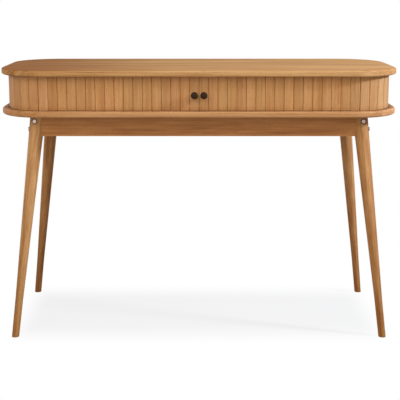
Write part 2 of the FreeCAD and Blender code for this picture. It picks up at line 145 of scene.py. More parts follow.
def lit_share(tree):
    """Returns how much lit paper shows: a small share between the feet, and none far from the desk."""
    place = add_node(tree, "ShaderNodeTexCoord")
    axes = add_node(tree, "ShaderNodeSeparateXYZ", {}, {0: place.outputs["Object"]})
    fades = []
    for axis, (edge, core) in SHADOW_FADES.items():
        away = add_node(tree, "ShaderNodeMath", {"operation": "ABSOLUTE"}, {0: axes.outputs[axis]})
        fade = add_node(tree, "ShaderNodeMapRange",
                        {"interpolation_type": "SMOOTHSTEP", "From Min": edge, "From Max": core},
                        {"Value": away.outputs[0]})
        fades.append(fade.outputs[0])
    near = add_node(tree, "ShaderNodeMath", {"operation": "MULTIPLY"}, {0: fades[0], 1: fades[1]})
    share = add_node(tree, "ShaderNodeMath", {"operation": "MULTIPLY", 1: SHADOW_SHARE}, {0: near.outputs[0]})
    return share.outputs[0]


def paper_material():
    """Makes the white studio paper, with a grey zone between the feet: the desk's real shadow and a painted
    shadow.
    """
    material, tree, output = new_material("white studio paper")
    # The lit paper is grey, so where it shows it is a painted shadow as well as the real one.
    lit_paper = add_node(tree, "ShaderNodeBsdfDiffuse", {"Color": tint("#C6C8CA")})
    dim_paper = add_node(tree, "ShaderNodeBsdfDiffuse", {"Color": tint("#989088")})
    glow = add_node(tree, "ShaderNodeEmission", {"Color": tint(WHITE), "Strength": 1.0})
    seen = add_node(tree, "ShaderNodeMixShader", {},
                    {0: lit_share(tree), 1: glow.outputs[0], 2: lit_paper.outputs[0]})
    mixed = add_node(tree, "ShaderNodeMixShader", {},
                     {0: seen_directly(tree), 1: dim_paper.outputs[0], 2: seen.outputs[0]})
    tree.links.new(mixed.outputs[0], output.inputs["Surface"])
    return material


def object_from(form, name, material):
    """Turns a bmesh into a scene object with one material and smooth faces."""
    mesh = bpy.data.meshes.new(name)
    form.to_mesh(mesh)
    form.free()
    mesh.materials.append(material)
    mesh.shade_smooth()
    made = bpy.data.objects.new(name, mesh)
    bpy.context.scene.collection.objects.link(made)
    return made


floor_form = bmesh.new()
bmesh.ops.create_grid(floor_form, x_segments=1, y_segments=1, size=FLOOR_REACH)
floor = object_from(floor_form, "studio_floor", paper_material())
print("studio floor laid")

# %% [markdown]
# ## The room
# Beyond the floor the camera sees plain white. The room's own light on the desk is weak and a little warm,
# so that shaded wood keeps its colour.

# %% Surroundings
ROOM_TONE = "#FFDDB4"
ROOM_STRENGTH = 0.13

world = bpy.data.worlds.new("studio_world")
bpy.context.scene.world = world
world.use_nodes = True
sky = world.node_tree
sky.nodes.clear()
room_light = add_node(sky, "ShaderNodeBackground", {"Color": tint(ROOM_TONE), "Strength": ROOM_STRENGTH})
backdrop = add_node(sky, "ShaderNodeBackground", {"Color": tint(WHITE), "Strength": 1.0})
sky_mix = add_node(sky, "ShaderNodeMixShader", {},
                   {0: seen_directly(sky), 1: room_light.outputs[0], 2: backdrop.outputs[0]})
add_node(sky, "ShaderNodeOutputWorld", {}, {"Surface": sky_mix.outputs[0]})
print("surroundings ready")

# %% [markdown]
# ## The lamps
# The light can be read off the photograph's shadows. The worktop's edge throws a fairly crisp shadow to the
# left, so a small strong box hangs on the right, a little cool, as daylight is. The rest is soft: a broad
# box at the front left, two high ones in front, and a low one in front that reaches into the case. Weaker
# ones overhead, behind and at the left end serve the views from other sides.

# %% Soft boxes
CASE_MIDDLE = Vector((0, 0, 0.72))
DAYLIGHT = "#E1ECFF"
WARM_BOUNCE = "#FFFAF4"
# Each box has its place and the length of its side in metres, its power in watts and its colour.
SOFT_BOXES = {
    "right_box": ((2.99, -0.80, 2.01), 0.30, 117, DAYLIGHT),
    "left_front_box": ((-1.8, -1.9, 1.9), 1.5, 14, WARM_BOUNCE),
    "high_left_box": ((-0.9, -2.0, 2.5), 1.5, 16.5, WARM_BOUNCE),
    "high_right_box": ((1.0, -2.0, 2.5), 1.5, 13.5, WARM_BOUNCE),
    "low_front_box": ((-0.3, -2.8, 0.95), 1.0, 17.5, WARM_BOUNCE),
    "overhead_box": ((0.4, 0.0, 1.9), 1.0, 2.0, WHITE),
    "back_box": ((-0.4, 2.6, 0.4), 0.7, 20, WHITE),
    "left_end_box": ((-2.6, 0.9, 1.1), 1.2, 14, WHITE),
}


def soft_box(name, place, side, watts, light):
    """Hangs a square lamp at a place, facing the case."""
    lamp = bpy.data.lights.new(name, "AREA")
    lamp.shape = "SQUARE"
    lamp.size = side
    lamp.energy = watts
    lamp.color = tint(light)[:3]
    holder = bpy.data.objects.new(name, lamp)
    holder.location = place
    holder.rotation_euler = (CASE_MIDDLE - Vector(place)).to_track_quat("-Z", "Y").to_euler()
    bpy.context.scene.collection.objects.link(holder)


for name, settings in SOFT_BOXES.items():
    soft_box(name, *settings)
print("soft boxes hung:", len(SOFT_BOXES))

# %% [markdown]
# ## Oak
# The boards, slats, aprons and legs are oiled oak. Oak shows broad bands of growth a few centimetres wide,
# fine streaks a few millimetres wide, soft clouds where the oil took unevenly, and short dark pores. A wood
# picture could be wrapped round each piece, but it would repeat and show seams. Here each feature is a
# noise stretched along the grain, which runs through the piece as real grain does. The sizes are those of
# real oak. The pores are drawn about twice as coarse as real ones, because finer ones would not show.

# %% Oak patterns
ALONG_X = (0, 0, 0)
ALONG_Y = (0, 0, math.radians(-90))
ALONG_Z = (0, math.radians(90), 0)
# Each pattern has its length along the grain, its width, and the detail and roughness of its noise.
BAND = (700 * MM, 26 * MM, 4, 0.6)
STREAK = (240 * MM, 3.5 * MM, 3, 0.6)
CLOUD = (95 * MM, 15 * MM, 3, 0.6)
PORE = (16 * MM, 0.9 * MM, 1, 0.5)


def stretched_noise(tree, space, pattern):
    """Returns a noise whose patches have a length and width along the grain."""
    length, width, detail, roughness = pattern
    squeezed = add_node(tree, "ShaderNodeMapping", {"Scale": (1 / length, 1 / width, 1 / width)},
                        {"Vector": space})
    noise = add_node(tree, "ShaderNodeTexNoise", {"Scale": 1.0, "Detail": detail, "Roughness": roughness},
                     {"Vector": squeezed.outputs[0]})
    return noise.outputs[0]


def stave_space(tree, turn, shift, staves):
    """Returns coordinates with X along the grain, and a number from 0 to 1 for each stave side by side."""
    place = add_node(tree, "ShaderNodeTexCoord")
    turned = add_node(tree, "ShaderNodeMapping", {"Location": shift, "Rotation": turn},
                      {"Vector": place.outputs["Object"]})
    if not staves:
        return turned.outputs[0], None
    across, width = staves
    axes = add_node(tree, "ShaderNodeSeparateXYZ", {}, {0: place.outputs["Object"]})
    count = add_node(tree, "ShaderNodeMath", {"operation": "DIVIDE", 1: width}, {0: axes.outputs[across]})
    whole = add_node(tree, "ShaderNodeMath", {"operation": "FLOOR"}, {0: count.outputs[0]})
    lot = add_node(tree, "ShaderNodeTexWhiteNoise", {"noise_dimensions": "1D"}, {"W": whole.outputs[0]})
    own = add_node(tree, "ShaderNodeVectorMath", {"operation": "ADD"},
                   {0: turned.outputs[0], 1: lot.outputs["Color"]})
    return own.outputs[0], lot.outputs["Value"]


print("oak patterns ready")

# %% Oak figure
FIGURE_RANGE = (0.38, 0.60)
PORE_RANGE = (0.62, 0.74)
PORE_SHARE = 0.45
PORE_TONE = "#7E4F2A"


def oak_figure(tree, space, tones, cloudy):
    """Returns the colour of the grain, and the streaks and pores that give it its relief."""
    band = stretched_noise(tree, space, BAND)
    streak = stretched_noise(tree, space, STREAK)
    pore = stretched_noise(tree, space, PORE)
    cloud = stretched_noise(tree, space, CLOUD)
    grain = add_node(tree, "ShaderNodeMix", {0: 0.5}, {2: band, 3: streak})
    figure = add_node(tree, "ShaderNodeMix", {0: cloudy}, {2: grain.outputs[0], 3: cloud})
    ground = add_node(tree, "ShaderNodeValToRGB", {}, {"Fac": figure.outputs[0]})
    light, dark = tones
    for stop, position, tone in zip(ground.color_ramp.elements, FIGURE_RANGE, (dark, light)):
        stop.position = position
        stop.color = tint(tone)
    pits = add_node(tree, "ShaderNodeMapRange",
                    {"From Min": PORE_RANGE[0], "From Max": PORE_RANGE[1], "To Max": PORE_SHARE},
                    {"Value": pore})
    pored = add_node(tree, "ShaderNodeMix", {"data_type": "RGBA", 7: tint(PORE_TONE)},
                     {0: pits.outputs[0], 6: ground.outputs[0]})
    return pored.outputs[2], streak, pits.outputs[0]


print("oak figure ready")

# %% Oak knots
KNOT_SPACING = 105 * MM
KNOT_RADIUS = 5 * MM
KNOT_CORE = 0.2
CLEAR_SHARE = 0.62
KNOT_TONE = "#6E4222"


def add_knots(tree, space, colour):
    """Returns oak with small knots. A knot is a branch that runs straight through, so it has no depth."""
    flat = add_node(tree, "ShaderNodeMapping", {"Scale": (1 / KNOT_SPACING, 0, 1 / KNOT_SPACING)},
                    {"Vector": space})
    cells = add_node(tree, "ShaderNodeTexVoronoi", {"Scale": 1.0}, {"Vector": flat.outputs[0]})
    rim = KNOT_RADIUS / KNOT_SPACING
    eye = add_node(tree, "ShaderNodeMapRange",
                   {"From Min": KNOT_CORE * rim, "From Max": rim, "To Min": 1.0, "To Max": 0.0},
                   {"Value": cells.outputs["Distance"]})
    draw = add_node(tree, "ShaderNodeSeparateColor", {}, {0: cells.outputs["Color"]})
    chosen = add_node(tree, "ShaderNodeMath", {"operation": "GREATER_THAN", 1: CLEAR_SHARE},
                      {0: draw.outputs[0]})
    shown = add_node(tree, "ShaderNodeMath", {"operation": "MULTIPLY"},
                     {0: eye.outputs[0], 1: chosen.outputs[0]})
    knotted = add_node(tree, "ShaderNodeMix", {"data_type": "RGBA", 7: tint(KNOT_TONE)},
                       {0: shown.outputs[0], 6: colour})
    return knotted.outputs[2]


print("oak knots ready")

# %% [markdown]
# ## How oak varies, and its painted shade and light
# Staves that lie side by side come from different boards, so each draws its own hue and tone. Oil and dust
# gather in joints and darken them, and the same darkening in creases and where parts meet is painted shade.
# The paler tone in the gaps that open round the corners is painted light. Both follow the shape, so an
# Ambient Occlusion node finds the nooks, and nothing has to be painted by hand.

# %% Tones of staves and joints
LOT_HUES = (0.496, 0.503)
LOT_TONES = (0.92, 1.05)
NOOK_RANGE = (0.45, 0.85)
# A joint has its tone, the share of that tone in it, and how far it reaches out of the joint.
# Dirt in the joints, and painted shade in creases and where parts meet.
JOINT_DIRT_AND_SHADE = ("#6A3A10", 0.33, 6 * MM)


def tone_by_lot(tree, lot, colour):
    """Returns a colour that differs a little in hue and tone from stave to stave."""
    hue = add_node(tree, "ShaderNodeMapRange", {"To Min": LOT_HUES[0], "To Max": LOT_HUES[1]}, {"Value": lot})
    other_lot = add_node(tree, "ShaderNodeTexWhiteNoise", {"noise_dimensions": "1D"}, {"W": lot})
    tone = add_node(tree, "ShaderNodeMapRange", {"To Min": LOT_TONES[0], "To Max": LOT_TONES[1]},
                    {"Value": other_lot.outputs["Value"]})
    toned = add_node(tree, "ShaderNodeHueSaturation", {},
                     {"Hue": hue.outputs[0], "Value": tone.outputs[0], "Color": colour})
    return toned.outputs[0]


def paint_nook_tone(tree, joint, colour):
    """Returns a colour that turns to a given tone in joints and nooks: a dark one is dirt and painted shade,
    a pale one painted light.
    """
    tone, share, reach = joint
    nook = add_node(tree, "ShaderNodeAmbientOcclusion", {"samples": 8, "Distance": reach})
    depth = add_node(tree, "ShaderNodeMapRange",
                     {"From Min": NOOK_RANGE[0], "From Max": NOOK_RANGE[1], "To Min": share, "To Max": 0.0},
                     {"Value": nook.outputs["AO"]})
    nook_toned = add_node(tree, "ShaderNodeMix", {"data_type": "RGBA", 7: tint(tone)},
                    {0: depth.outputs[0], 6: colour})
    return nook_toned.outputs[2]


print("stave and joint tones ready")

# %% Oak material
OILED_ROUGHNESS = (0.52, 0.70)


def oak(name, turn, shift, tones, satin=0.2, joint=JOINT_DIRT_AND_SHADE, staves=None, knotty=False, cloudy=0.3):
    """Makes oiled oak: warm bands, fine streaks, dark pores, and a satin sheen that follows the streaks."""
    material, tree, output = new_material(name)
    space, lot = stave_space(tree, turn, shift, staves)
    colour, streak, pits = oak_figure(tree, space, tones, cloudy)
    if knotty:
        colour = add_knots(tree, space, colour)
    if lot:
        colour = tone_by_lot(tree, lot, colour)
    colour = paint_nook_tone(tree, joint, colour)
    sheen = add_node(tree, "ShaderNodeMapRange",
                     {"To Min": OILED_ROUGHNESS[0], "To Max": OILED_ROUGHNESS[1]}, {"Value": streak})
    relief = add_node(tree, "ShaderNodeMath", {"operation": "SUBTRACT"}, {0: streak, 1: pits})
    bump = add_node(tree, "ShaderNodeBump", {"Strength": 0.25, "Distance": 0.3 * MM},
                    {"Height": relief.outputs[0]})
    wood = add_node(tree, "ShaderNodeBsdfPrincipled", {"IOR": 1.45, "Specular IOR Level": satin},
                    {"Base Color": colour, "Roughness": sheen.outputs[0], "Normal": bump.outputs[0]})
    tree.links.new(wood.outputs[0], output.inputs["Surface"])
    return material


print("oak ready")

# %% [markdown]
# ## Soft shading on the solids
# The loaded solids are loose flat triangles, which is right for a plank and wrong for a turned leg. Their
# meshes stay as they are. A small geometry node group welds the triangles and shades shallow edges smooth,
# and a Weighted Normal modifier keeps the wide flat faces flat.

# %% Smooth the turned and rounded faces
CRISP_ANGLE = math.radians(38)
WELD_GAP = 0.01 * MM


def soft_shading():
    """Makes the node group that welds triangles and smooths shallow edges."""
    tree = bpy.data.node_groups.new("soft_shading", "GeometryNodeTree")
    tree.interface.new_socket("Geometry", in_out="INPUT", socket_type="NodeSocketGeometry")
    tree.interface.new_socket("Geometry", in_out="OUTPUT", socket_type="NodeSocketGeometry")
    start = add_node(tree, "NodeGroupInput")
    welded = add_node(tree, "GeometryNodeMergeByDistance", {"Distance": WELD_GAP},
                      {"Geometry": start.outputs[0]})
    angle = add_node(tree, "GeometryNodeInputMeshEdgeAngle")
    crisp = add_node(tree, "ShaderNodeMath", {"operation": "GREATER_THAN", 1: CRISP_ANGLE},
                     {0: angle.outputs["Unsigned Angle"]})
    edges = add_node(tree, "GeometryNodeSetShadeSmooth", {"domain": "EDGE", "Shade Smooth": False},
                     {"Geometry": welded.outputs[0], "Selection": crisp.outputs[0]})
    faces = add_node(tree, "GeometryNodeSetShadeSmooth", {"domain": "FACE", "Shade Smooth": True},
                     {"Geometry": edges.outputs[0]})
    add_node(tree, "NodeGroupOutput", {}, {"Geometry": faces.outputs[0]})
    return tree


def finish_solid(name, material):
    """Gives a solid its finish."""
    slots = desk_solids[name].data.materials
    slots.clear()
    slots.append(material)


shading = soft_shading()
for solid in desk_solids.values():
    smoothing = solid.modifiers.new("soft_shading", "NODES")
    smoothing.node_group = shading
    flats = solid.modifiers.new("flat_faces", "WEIGHTED_NORMAL")
    flats.keep_sharp = True
print("soft shading on", len(desk_solids), "solids")

# %% [markdown]
# ## Boards
# The two boards are glued up from staves about 66 mm wide, with the grain along the desk. The worktop's
# upper face has painted shade that deepens towards the left end, and its edges follow a little. The lower
# board has painted shade in the narrow nook where the slats stand in it. A second material could be
# painted there. Deepening the same oak by place and by nook keeps the grain running through.

# %% Ways to deepen oak
# Painted shade on the worktop: deeper towards its left end, most on its upper face.
SHADE_START_X = -0.05
SHADE_FULL_X = -0.55
FACING_UP = (0.4, 0.95)
EDGE_SHARE = 0.35
TOP_SHADE_TONE = "#D0BCA4"


def deepen(material, tone, share):
    """Multiplies an oak's colour by a tone, as much as a share says."""
    tree = material.node_tree
    wood = tree.nodes["Principled BSDF"]
    oak_colour = wood.inputs["Base Color"].links[0].from_socket
    deepened = add_node(tree, "ShaderNodeMix",
                        {"data_type": "RGBA", "blend_type": "MULTIPLY", 7: tint(tone)},
                        {0: share, 6: oak_colour})
    tree.links.new(deepened.outputs[2], wood.inputs["Base Color"])


def paint_shade_on_upper_face(material):
    """Paints shade on oak towards its left end, most where it faces up."""
    tree = material.node_tree
    surface = add_node(tree, "ShaderNodeNewGeometry")
    heading = add_node(tree, "ShaderNodeSeparateXYZ", {}, {0: surface.outputs["Normal"]})
    upper = add_node(tree, "ShaderNodeMapRange",
                     {"From Min": FACING_UP[0], "From Max": FACING_UP[1], "To Min": EDGE_SHARE},
                     {"Value": heading.outputs["Z"]})
    place = add_node(tree, "ShaderNodeTexCoord")
    along = add_node(tree, "ShaderNodeSeparateXYZ", {}, {0: place.outputs["Object"]})
    depth = add_node(tree, "ShaderNodeMapRange",
                     {"interpolation_type": "SMOOTHSTEP", "From Min": SHADE_START_X, "From Max": SHADE_FULL_X},
                     {"Value": along.outputs["X"]})
    share = add_node(tree, "ShaderNodeMath", {"operation": "MULTIPLY"},
                     {0: upper.outputs[0], 1: depth.outputs[0]})
    deepen(material, TOP_SHADE_TONE, share.outputs[0])


def paint_shade_downwards(material, tone, start, end):
    """Paints shade on oak, growing from one height down to another."""
    tree = material.node_tree
    place = add_node(tree, "ShaderNodeTexCoord")
    axes = add_node(tree, "ShaderNodeSeparateXYZ", {}, {0: place.outputs["Object"]})
    downward_shade = add_node(tree, "ShaderNodeMapRange", {"From Min": start, "From Max": end},
                    {"Value": axes.outputs["Z"]})
    deepen(material, tone, downward_shade.outputs[0])


print("deepening ready")

# %% Finish the boards
GLUED_STAVES = ("Y", 66 * MM)
BOARD_CLOUDS = 0.08
WORKTOP_TONES = ("#D9AD75", "#A9743F")
LOWER_TONES = ("#D1A06B", "#AB7341")
# Painted shade in the nook where the slats stand in the lower board, found by ambient occlusion.
SHADED_NOOK = ("#2E1708", 0.85, 50 * MM)

worktop_oak = oak("oiled oak top board", ALONG_X, (3.7, 2.2, 1.5), WORKTOP_TONES, satin=0.03,
                  staves=GLUED_STAVES, cloudy=BOARD_CLOUDS)
paint_shade_on_upper_face(worktop_oak)
finish_solid("top_board", worktop_oak)
lower_oak = oak("oiled oak lower board", ALONG_X, (0.9, 3.1, 2.2), LOWER_TONES, joint=SHADED_NOOK,
                staves=GLUED_STAVES, cloudy=BOARD_CLOUDS)
finish_solid("lower_board", lower_oak)
print("boards finished")

# %% [markdown]
# ## Aprons
# The aprons are planks that join the legs under the case, each cut along its own length. One oak could
# serve all four, but then they would share a figure, so each gets its own place in the pattern.

# %% Finish the aprons
APRON_TONES = ("#CB9058", "#A0683A")
APRON_CUTS = {
    "front": (ALONG_X, (9.4, 2.1, 0.4)),
    "back": (ALONG_X, (13.2, 1.6, 2.2)),
    "left": (ALONG_Y, (2.2, 3.1, 0.9)),
    "right": (ALONG_Y, (7.7, 4.4, 1.8)),
}
for where, (turn, shift) in APRON_CUTS.items():
    finish_solid(f"{where}_apron", oak(f"oiled oak {where} apron", turn, shift, APRON_TONES))
print("aprons finished:", len(APRON_CUTS))

# %% [markdown]
# ## Legs
# Each leg is turned from its own oak blank, so its grain follows its own sloping axis. The slope comes from
# where the leg stands under the case and on the floor. Painted shade deepens the oak towards the floor.
# One upright grain for all four would be simpler, but it would run out at the sides of a sloping leg.

# %% Finish the legs
LEG_TOP = Vector((480.5, 150, 674)) * MM
LEG_FOOT = Vector((559, 208, 0)) * MM
# Painted shade on the legs: the oak deepens from this height down to the floor.
LEG_SHADE_START = 420 * MM
LEG_FOOT_SHADE = "#D6C6AC"
CORNERS = {
    "front_left_leg": (-1, -1),
    "front_right_leg": (1, -1),
    "back_left_leg": (-1, 1),
    "back_right_leg": (1, 1),
}
leg_tones = dict.fromkeys(CORNERS, ("#CD9B65", "#975F30"))
# Paler tones for the front-left leg: partly its own blank, partly painted light for the brighter light on it.
leg_tones["front_left_leg"] = ("#D8A972", "#A26D3D")


for number, (name, (sx, sy)) in enumerate(CORNERS.items()):
    slope = (LEG_TOP - LEG_FOOT) * Vector((sx, sy, 1))
    turn = slope.rotation_difference(Vector((1, 0, 0))).to_euler()
    shift = (number * 3.3, number * 0.8, 0.5)
    leg_oak = oak("oiled oak " + name.replace("_", " "), turn, shift, leg_tones[name], knotty=True)
    paint_shade_downwards(leg_oak, LEG_FOOT_SHADE, LEG_SHADE_START, 0)
    finish_solid(name, leg_oak)
print("legs finished:", len(CORNERS))

# %% [markdown]
# ## Slats
# The slats are sawn from several boards, so neighbours differ a little in tone. The straight row is one
# solid: its material counts slats by their pitch and draws a tone for each. The slats that turn the corners
# are separate solids. A material for each would be 36 nearly alike, so they take turns with nine cuts of
# oak, three for the front and three for each corner. Round the corners the joints open, and painted light
# makes the gaps paler. Painted shade darkens every slat towards its foot.

# %% Finish the slats
SLAT_PITCH = 27.576 * MM
SLAT_SATIN = 0.3
# Painted light: a pale tone in the gaps round the corners, where shade falls.
GAP_PAINTED_LIGHT = ("#F6CC92", 0.5, 6 * MM)
ROW_TONES = ("#C8965F", "#AE7843")
CUT_TONES = {
    "front": (("#CA9862", "#B27B46"), ("#C3915B", "#AC7642"), ("#C7955F", "#B07944")),
    "left": (("#CC9A67", "#B67F4D"), ("#C69460", "#B07A48"), ("#CA9663", "#B27A49")),
    # The right corner's cuts are less red and a little cooler: painted light for the cool lamp on the right.
    "right": (("#C49765", "#B07D4A"), ("#C79A68", "#B2804E"), ("#C29362", "#AC7846")),
}
# Painted shade: each slat darkens towards its foot in the lower board.
SLAT_FOOT_SHADE = "#F2E8DA"
FOOT_SHADE_START = 707 * MM
FOOT_SHADE_END = 694 * MM
FIRST_TURNING_SLAT = 12
FIRST_CORNER_SLAT = 17
LAST_SLAT = 29


def slat_cuts(where, joint):
    """Makes a cut of oak for each pair of tones."""
    cuts = []
    for number, tones in enumerate(CUT_TONES[where]):
        name = f"oiled oak {where} slat cut {number + 1}"
        shift = (number * 1.9, number * 0.37, number * 0.53)
        cut = oak(name, ALONG_Z, shift, tones, SLAT_SATIN, joint)
        paint_shade_downwards(cut, SLAT_FOOT_SHADE, FOOT_SHADE_START, FOOT_SHADE_END)
        cuts.append(cut)
    return cuts


row_oak = oak("oiled oak front slats", ALONG_Z, (1.7, 0, 0), ROW_TONES, SLAT_SATIN,
              staves=("X", SLAT_PITCH), knotty=True)
paint_shade_downwards(row_oak, SLAT_FOOT_SHADE, FOOT_SHADE_START, FOOT_SHADE_END)
front_cuts = slat_cuts("front", JOINT_DIRT_AND_SHADE)
for side in SIDES:
    finish_solid(f"{side}_lead_slat", row_oak)
    finish_solid(f"{side}_front_slats", row_oak)
    corner_cuts = slat_cuts(side, GAP_PAINTED_LIGHT)
    for number in range(FIRST_TURNING_SLAT, LAST_SLAT + 1):
        cuts = front_cuts if number < FIRST_CORNER_SLAT else corner_cuts
        # Squares give an order of cuts without a plain beat.
        finish_solid(f"{side}_slat_{number}", cuts[number * number // 3 % len(cuts)])
print("slats finished:", LAST_SLAT, "in each door")

# %% [markdown]
# ## Plywood inside
# The back panel, the bent liners and the divider are oak-faced plywood, paler than the solid oak. Plywood
# is glued from thin sheets whose grain crosses, so its sawn edges show light and dark stripes. The sheets
# could be modelled, but they are only 1.6 mm thick. The material draws the veneer where the surface faces
# across the sheets, and the stripes where it does not.

# %% Finish the plywood
PLY = 1.6 * MM
ACROSS_X = (1, 0, 0)
ACROSS_Y = (0, 1, 0)
VENEER_TONES = ("#D2A878", "#BC8C5A")
PLY_TONES = ("#CFA878", "#946438")


def sawn_plies(tree, across):
    """Returns light and dark stripes, one for each ply."""
    place = add_node(tree, "ShaderNodeTexCoord")
    depth = add_node(tree, "ShaderNodeVectorMath", {"operation": "DOT_PRODUCT", 1: across},
                     {0: place.outputs["Object"]})
    count = add_node(tree, "ShaderNodeMath", {"operation": "PINGPONG", 1: PLY}, {0: depth.outputs["Value"]})
    dark_ply = add_node(tree, "ShaderNodeMath", {"operation": "GREATER_THAN", 1: PLY / 2},
                        {0: count.outputs[0]})
    plies = add_node(tree, "ShaderNodeMix",
                     {"data_type": "RGBA", 6: tint(PLY_TONES[0]), 7: tint(PLY_TONES[1])},
                     {0: dark_ply.outputs[0]})
    return plies.outputs[2]


def plywood(name, turn, shift, across):
    """Makes oak-faced plywood: pale veneer on its faces, and the stripes of its plies on its sawn edges."""
    material = oak(name, turn, shift, VENEER_TONES)
    tree = material.node_tree
    wood = tree.nodes["Principled BSDF"]
    veneer = wood.inputs["Base Color"].links[0].from_socket
    surface = add_node(tree, "ShaderNodeNewGeometry")
    facing = add_node(tree, "ShaderNodeVectorMath", {"operation": "DOT_PRODUCT", 1: across},
                      {0: surface.outputs["True Normal"]})
    size = add_node(tree, "ShaderNodeMath", {"operation": "ABSOLUTE"}, {0: facing.outputs["Value"]})
    on_face = add_node(tree, "ShaderNodeMath", {"operation": "GREATER_THAN", 1: 0.5}, {0: size.outputs[0]})
    shown = add_node(tree, "ShaderNodeMix", {"data_type": "RGBA"},
                     {0: on_face.outputs[0], 6: sawn_plies(tree, across), 7: veneer})
    tree.links.new(shown.outputs[2], wood.inputs["Base Color"])
    return material


finish_solid("back_panel", plywood("oak faced plywood back", ALONG_X, (2.9, 0.4, 6.0), ACROSS_Y))
finish_solid("centre_divider", plywood("oak faced plywood divider", ALONG_Y, (0.2, 1.4, 5.0), ACROSS_X))
# A liner is bent round a corner and has no straight sheets to count, so it is veneer all over.
finish_solid("left_liner", oak("oak faced plywood left liner", ALONG_Z, (0.8, 0.2, 3.0), VENEER_TONES))
finish_solid("right_liner", oak("oak faced plywood right liner", ALONG_Z, (1.8, 0.6, 4.0), VENEER_TONES))
print("plywood finished")

# %% [markdown]
# ## Canvas
# A canvas is glued behind the slats of each door and bends between them. It could be one sheet that bends
# as the door slides. Here it is one strip behind the straight row and one strip behind each slat that
# turns, because then each strip goes with its own slat and stays glued to it at every pose. A strip is a
# single plane of cloth, given its thickness by a Solidify modifier.

# %% Canvas weave
THREAD_PAIR = 2 * MM


def canvas_material():
    """Makes undyed cotton canvas: a plain, dull weave, drawn coarser than real threads so that it shows."""
    material, tree, output = new_material("cotton canvas")
    place = add_node(tree, "ShaderNodeTexCoord")
    checks = add_node(tree, "ShaderNodeTexChecker",
                      {"Scale": 1 / THREAD_PAIR, "Color1": tint("#D8CBB0"), "Color2": tint("#BBAB8C")},
                      {"Vector": place.outputs["Object"]})
    bump = add_node(tree, "ShaderNodeBump", {"Strength": 0.5, "Distance": 0.2 * MM},
                    {"Height": checks.outputs["Fac"]})
    cloth = add_node(tree, "ShaderNodeBsdfPrincipled", {"Roughness": 0.9, "Sheen Weight": 0.2},
                     {"Base Color": checks.outputs["Color"], "Normal": bump.outputs[0]})
    tree.links.new(cloth.outputs[0], output.inputs["Surface"])
    return material


canvas_cloth = canvas_material()
print("canvas ready")

# %% Canvas strips
STRAIGHT_RUN = 457 * MM
CANVAS_FRONT = -196 * MM
CANVAS_RADIUS = 109 * MM
CANVAS_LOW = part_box("left_canvas")[0].z
CANVAS_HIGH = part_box("left_canvas")[1].z
CANVAS_THICKNESS = 0.8 * MM
SLAT_GAP = 0.6 * MM
# Turning strips part a little more, so that none bites a neighbour while it is half way round a corner.
TURNING_GAP = 1.6 * MM
GLUE_GAP = 0.1 * MM
UPRIGHT = Euler((math.radians(90), 0, 0)).to_matrix()


def canvas_line(distance):
    """Returns the right door's canvas line at a distance from the middle: its point and its heading."""
    arc = CANVAS_RADIUS * math.pi / 2
    turn = min(max(distance - STRAIGHT_RUN, 0), arc) / CANVAS_RADIUS
    rest = max(distance - STRAIGHT_RUN - arc, 0)
    x = min(distance, STRAIGHT_RUN) + CANVAS_RADIUS * math.sin(turn)
    y = CANVAS_FRONT + CANVAS_RADIUS * (1 - math.cos(turn)) + rest
    return Vector((x, y, (CANVAS_LOW + CANVAS_HIGH) / 2)), turn


def canvas_strip(name, sign, distance, width, body):
    """Makes one strip of canvas behind slats, riding on their body."""
    point, turn = canvas_line(distance)
    height = CANVAS_HIGH - CANVAS_LOW
    form = bmesh.new()
    bmesh.ops.create_grid(form, x_segments=1, y_segments=4, size=0.5)
    bmesh.ops.scale(form, vec=(width, height, 1), verts=form.verts)
    bmesh.ops.rotate(form, matrix=UPRIGHT, verts=form.verts)
    bmesh.ops.translate(form, vec=(0, GLUE_GAP + CANVAS_THICKNESS / 2, 0), verts=form.verts)
    bmesh.ops.rotate(form, matrix=Matrix.Rotation(sign * turn, 3, "Z"), verts=form.verts)
    bmesh.ops.translate(form, vec=(sign * point.x, point.y, point.z), verts=form.verts)
    strip = object_from(form, name, canvas_cloth)
    body_of_cloth = strip.modifiers.new("cloth_thickness", "SOLIDIFY")
    body_of_cloth.thickness = CANVAS_THICKNESS
    body_of_cloth.offset = 0
    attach(strip, body)
    return strip


for side, sign in SIDES.items():
    row = FIRST_TURNING_SLAT - 1
    front = canvas_strip(f"{side}_canvas_front", sign, row * SLAT_PITCH / 2, row * SLAT_PITCH - SLAT_GAP,
                         f"{side}_door")
    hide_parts(f"{side}_canvas")
    for number in range(FIRST_TURNING_SLAT, LAST_SLAT + 1):
        slat = f"{side}_slat_{number}"
        canvas_strip(f"{side}_canvas_{number}", sign, (number - 0.5) * SLAT_PITCH, SLAT_PITCH - TURNING_GAP,
                     slat)
print("canvas strips made")

# %% [markdown]
# ## Knobs
# Each door is drawn by a small turned knob in black enamel. It could be stacked from cylinders, but a
# turned piece is one outline on a lathe, so its profile is drawn as a few points and spun about the knob's
# axis. A subdivision surface then rounds it, as sanding would.

# %% Black enamel
ORANGE_PEEL = 1.5 * MM


def enamel_material():
    """Makes black enamel: nearly black, with a soft sheen and the faint unevenness of sprayed paint."""
    material, tree, output = new_material("satin black enamel")
    place = add_node(tree, "ShaderNodeTexCoord")
    peel = add_node(tree, "ShaderNodeTexNoise", {"Scale": 1 / ORANGE_PEEL, "Detail": 2.0},
                    {"Vector": place.outputs["Object"]})
    gloss = add_node(tree, "ShaderNodeMapRange", {"To Min": 0.42, "To Max": 0.56}, {"Value": peel.outputs[0]})
    bump = add_node(tree, "ShaderNodeBump", {"Strength": 0.1, "Distance": 0.05 * MM},
                    {"Height": peel.outputs[0]})
    paint = add_node(tree, "ShaderNodeBsdfPrincipled",
                     {"Base Color": tint("#2A1909"), "Specular IOR Level": 0.12},
                     {"Roughness": gloss.outputs[0], "Normal": bump.outputs[0]})
    tree.links.new(paint.outputs[0], output.inputs["Surface"])
    return material


enamel = enamel_material()
print("enamel ready")

